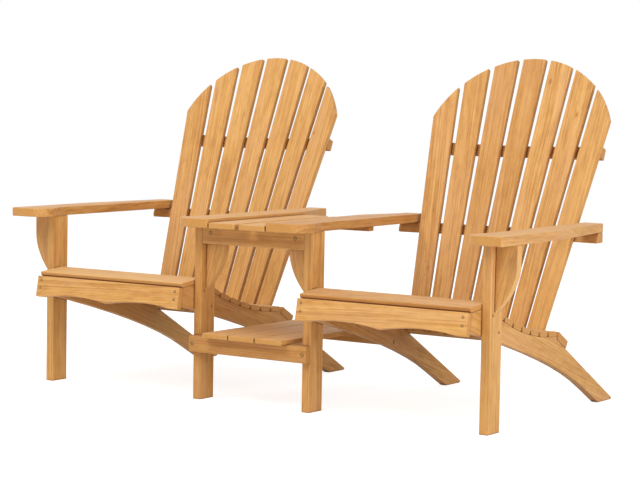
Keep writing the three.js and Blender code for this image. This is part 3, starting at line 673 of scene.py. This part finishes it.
def hoops(form, outline):
    """Rings of points, one for each radius and height of an outline."""
    turns = [2 * math.pi * i / AROUND for i in range(AROUND)]
    return [[form.verts.new((radius * math.cos(turn), radius * math.sin(turn), height)) for turn in turns]
            for radius, height in outline]


def skin(form, low, high):
    """A band of faces between two loops with the same number of points."""
    for i in range(len(low)):
        form.faces.new((low[i - 1], low[i], high[i], high[i - 1]))


def mesh_of(name, form):
    """A bmesh as a mesh. The bmesh is let go."""
    mesh = bpy.data.meshes.new(name)
    form.to_mesh(mesh)
    form.free()
    return mesh


def screw_head(screw):
    """A raised head with a cross slot, its top towards Z and its foot sunk in the wood below the origin."""
    form = bmesh.new()
    foot, rim, shoulder = hoops(form, (
        (screw.radius, -SUNK), (screw.radius, screw.rim),
        (SHOULDER * screw.radius, screw.rim + SHOULDER_RISE * (screw.crown - screw.rim))))
    form.faces.new(foot)
    skin(form, foot, rim)
    skin(form, rim, shoulder)
    half = screw.slot / 2
    arm = SLOT_REACH * screw.radius
    cross = [(half, half), (half, arm), (-half, arm), (-half, half), (-arm, half), (-arm, -half),
             (-half, -half), (-half, -arm), (half, -arm), (half, -half), (arm, -half), (arm, half)]
    top = [form.verts.new((x, y, screw.crown)) for x, y in cross]
    floor = [form.verts.new((x, y, screw.rim)) for x, y in cross]
    edges = [form.edges.new((top[i - 1], top[i])) for i in range(len(cross))]
    edges += [form.edges.get((shoulder[i - 1], shoulder[i])) for i in range(AROUND)]
    bmesh.ops.bridge_loops(form, edges=edges)
    skin(form, top, floor)
    form.faces.new(floor)
    bmesh.ops.recalc_face_normals(form, faces=form.faces)
    return mesh_of("screw_head", form)


def countersink(screw):
    """A thin closed ring of painted shade round a screw head, its foot sunk in the wood."""
    form = bmesh.new()
    inner = RING_INNER * screw.radius
    rings = hoops(form, (
        (screw.sink, -SUNK), (screw.sink, RING_EDGE), (screw.sink - RING_SLOPE, RING_TOP),
        (inner, RING_TOP), (inner, -SUNK)))
    for i in range(len(rings)):
        skin(form, rings[i - 1], rings[i])
    bmesh.ops.recalc_face_normals(form, faces=form.faces)
    return mesh_of("countersink", form)


def screw_spots():
    """Place in metres, facing and size share of every screw."""
    spots = []
    apron_way = (0, -math.cos(APRON_LEAN), math.sin(APRON_LEAN))
    back_way = (0, math.cos(BACK_TILT), -math.sin(BACK_TILT))
    batten_y = BACK_FOOT[0] + BATTEN_UP * math.sin(BACK_TILT) + BATTEN_THICKNESS * math.cos(BACK_TILT)
    batten_z = BACK_FOOT[1] + BATTEN_UP * math.cos(BACK_TILT) - BATTEN_THICKNESS * math.sin(BACK_TILT)
    batten_step = BACK_STEP + BACK_STEP_GAIN * BATTEN_UP / BACK_HEAD_LINE
    for side in CHAIRS.values():
        middle = side * CHAIR_SPACING / MM / 2
        for way in (-1, 1):
            # Two small ones through each leg into its stringer.
            for y, z in LEG_SCREWS:
                spots.append(((middle + way * LEG_FACE, y, z), (way, 0, 0), SMALL_SCREW))
            # Two small ones through each end of the leaning apron.
            for up in APRON_SCREWS_UP:
                y = APRON_FOOT[0] + up * math.sin(APRON_LEAN)
                z = APRON_FOOT[1] + up * math.cos(APRON_LEAN)
                spots.append(((middle + way * APRON_SCREWS_OUT, y, z), apron_way, SMALL_SCREW))
        # One through the stringer next to the table into the shelf's rear rail.
        spots.append(((middle - side * STRINGER_FACE, *STRINGER_SCREW), (side, 0, 0), 1))
        # Behind the back: one for each slat through the batten and through the arm rail.
        for step in range(-3, 4):
            spots.append(((middle + step * batten_step, batten_y, batten_z), back_way, SMALL_SCREW))
            spots.append(((middle + step * ARM_RAIL_STEP, *ARM_RAIL_SCREWS), (0, 1, 0), SMALL_SCREW))
    for side in (-1, 1):
        for x, y, z in FRONT_RAIL_SCREWS:
            spots.append(((side * x, y, z), (0, -1, 0), 1))
    places = [Vector((x * MM, y * MM + DEPTH_SHIFT, z * MM)) for (x, y, z), _, _ in spots]
    return places, [way for _, way, _ in spots], [share for _, _, share in spots]


class LOUNGE_OT_screws(bpy.types.Operator):
    """Sets a screw head at each fixing, with a dark ring of painted shade round it for its countersink"""

    bl_idname = "lounge.screws"
    bl_label = "Set the screws"

    def execute(self, context):
        screw = context.scene.lounge_screws
        places, ways, shares = screw_spots()
        tree = screw_tree()
        for name, mesh, material in (("screw_heads", screw_head(screw), screw_steel()),
                                     ("screw_countersinks", countersink(screw), countersink_shade())):
            form = linked(mesh.name + "_form", mesh)
            piece = points(name, places, way=ways, size=shares)
            grow(piece, tree, Form=form, Seed=SCREW_SEED, Material=material)
            bpy.data.objects.remove(form)
            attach(piece, "root")
        return {"FINISHED"}


class LOUNGE_OT_stage(bpy.types.Operator):
    """Makes the pale floor, the white studio, the soft lamps and the camera"""

    bl_idname = "lounge.stage"
    bl_label = "Set the stage"

    def execute(self, context):
        studio = context.scene.lounge_studio
        context.scene.view_settings.view_transform = "Standard"
        self.floor(studio)
        self.world(context.scene, studio)
        for name, (place, target, size) in LAMPS.items():
            self.lamp(name + "_lamp", place, target, size, getattr(studio, name))
        self.camera(context.scene, studio)
        return {"FINISHED"}

    def floor(self, studio):
        """A wide pale floor. The camera sees it as white with the chair's soft shadow kept."""
        form = bmesh.new()
        bmesh.ops.create_circle(form, cap_ends=True, segments=FLOOR_SIDES, radius=FLOOR_RADIUS)
        floor = linked("floor", mesh_of("floor", form))
        material = bpy.data.materials.new("floor_paper_matt_white")
        tree = emptied(material)
        paper = add(tree, "ShaderNodeBsdfDiffuse", {"Color": linear(studio.floor)})
        grey = add(tree, "ShaderNodeBsdfDiffuse", {"Color": linear(FLOOR_GREY)})
        glow = add(tree, "ShaderNodeEmission", {"Color": linear(WHITE), "Strength": FLOOR_GLOW})
        shown = add(tree, "ShaderNodeAddShader", {0: grey.outputs[0], 1: glow.outputs[0]})
        path = add(tree, "ShaderNodeLightPath")
        mixed = add(tree, "ShaderNodeMixShader", {
            0: path.outputs["Is Camera Ray"], 1: paper.outputs[0], 2: shown.outputs[0]})
        add(tree, "ShaderNodeOutputMaterial", {"Surface": mixed.outputs[0]})
        floor.data.materials.append(material)

    def world(self, scene, studio):
        """Even light all round, white where the camera or a reflection looks at it."""
        scene.world = bpy.data.worlds.new("studio")
        tree = emptied(scene.world)
        path = add(tree, "ShaderNodeLightPath").outputs
        seen = add(tree, "ShaderNodeMath", {0: path["Is Camera Ray"], 1: path["Is Glossy Ray"]},
                   operation="MAXIMUM")
        seen = add(tree, "ShaderNodeMath", {0: seen.outputs[0], 1: path["Is Transmission Ray"]},
                   operation="MAXIMUM")
        strength = add(tree, "ShaderNodeMapRange", {0: seen.outputs[0], 3: studio.sky, 4: 1.0})
        light = add(tree, "ShaderNodeBackground", {
            "Color": linear(WHITE), "Strength": strength.outputs[0]})
        add(tree, "ShaderNodeOutputWorld", {"Surface": light.outputs[0]})

    def lamp(self, name, place, target, size, power):
        """A big square soft lamp that faces a target."""
        data = bpy.data.lights.new(name, "AREA")
        data.shape = "SQUARE"
        data.size = size
        data.energy = power
        lamp = linked(name, data)
        lamp.location = place
        lamp.rotation_euler = (Vector(target) - Vector(place)).to_track_quat("-Z", "Y").to_euler()

    def camera(self, scene, studio):
        """The photograph's view: from the front right, at the height of the backs' upper half."""
        data = bpy.data.cameras.new("camera")
        data.lens = studio.lens
        data.sensor_width = SENSOR_WIDTH
        data.clip_end = FAR_CLIP
        camera = linked("camera", data)
        yaw, pitch, roll = (math.radians(angle) for angle in CAMERA_ANGLES)
        turn = (Matrix.Rotation(yaw, 4, "Z") @ Matrix.Rotation(math.pi / 2 - pitch, 4, "X")
                @ Matrix.Rotation(roll, 4, "Z"))
        camera.matrix_world = Matrix.Translation(CAMERA_PLACE) @ turn
        scene.camera = camera


OPERATORS = (LOUNGE_OT_boards, LOUNGE_OT_seat_slats, LOUNGE_OT_screws, LOUNGE_OT_stage)
GROUPS = {"lounge_teak": TeakLooks, "lounge_seat": SeatSizes, "lounge_screws": ScrewSizes,
          "lounge_studio": StudioLooks}


class LOUNGE_PT_panel(bpy.types.Panel):
    """The lounge chair's sizes, colours and steps"""

    bl_idname = "LOUNGE_PT_panel"
    bl_label = "Double lounge chair"
    bl_space_type = "VIEW_3D"
    bl_region_type = "UI"
    bl_category = "Lounge"

    def draw(self, context):
        for key, group in GROUPS.items():
            box = self.layout.box()
            for name in group.__annotations__:
                box.prop(getattr(context.scene, key), name)
        for operator in OPERATORS:
            self.layout.operator(operator.bl_idname)


def register():
    for kind in (*GROUPS.values(), *OPERATORS, LOUNGE_PT_panel):
        bpy.utils.register_class(kind)
    for key, group in GROUPS.items():
        setattr(bpy.types.Scene, key, bpy.props.PointerProperty(type=group))


def unregister():
    for key in GROUPS:
        delattr(bpy.types.Scene, key)
    for kind in (LOUNGE_PT_panel, *reversed(OPERATORS), *reversed(GROUPS.values())):
        bpy.utils.unregister_class(kind)


def main():
    """Makes the whole scene."""
    register()
    bpy.ops.lounge.boards()
    bpy.ops.lounge.seat_slats()
    bpy.ops.lounge.screws()
    bpy.ops.lounge.stage()


if __name__ == "__main__":
    main()
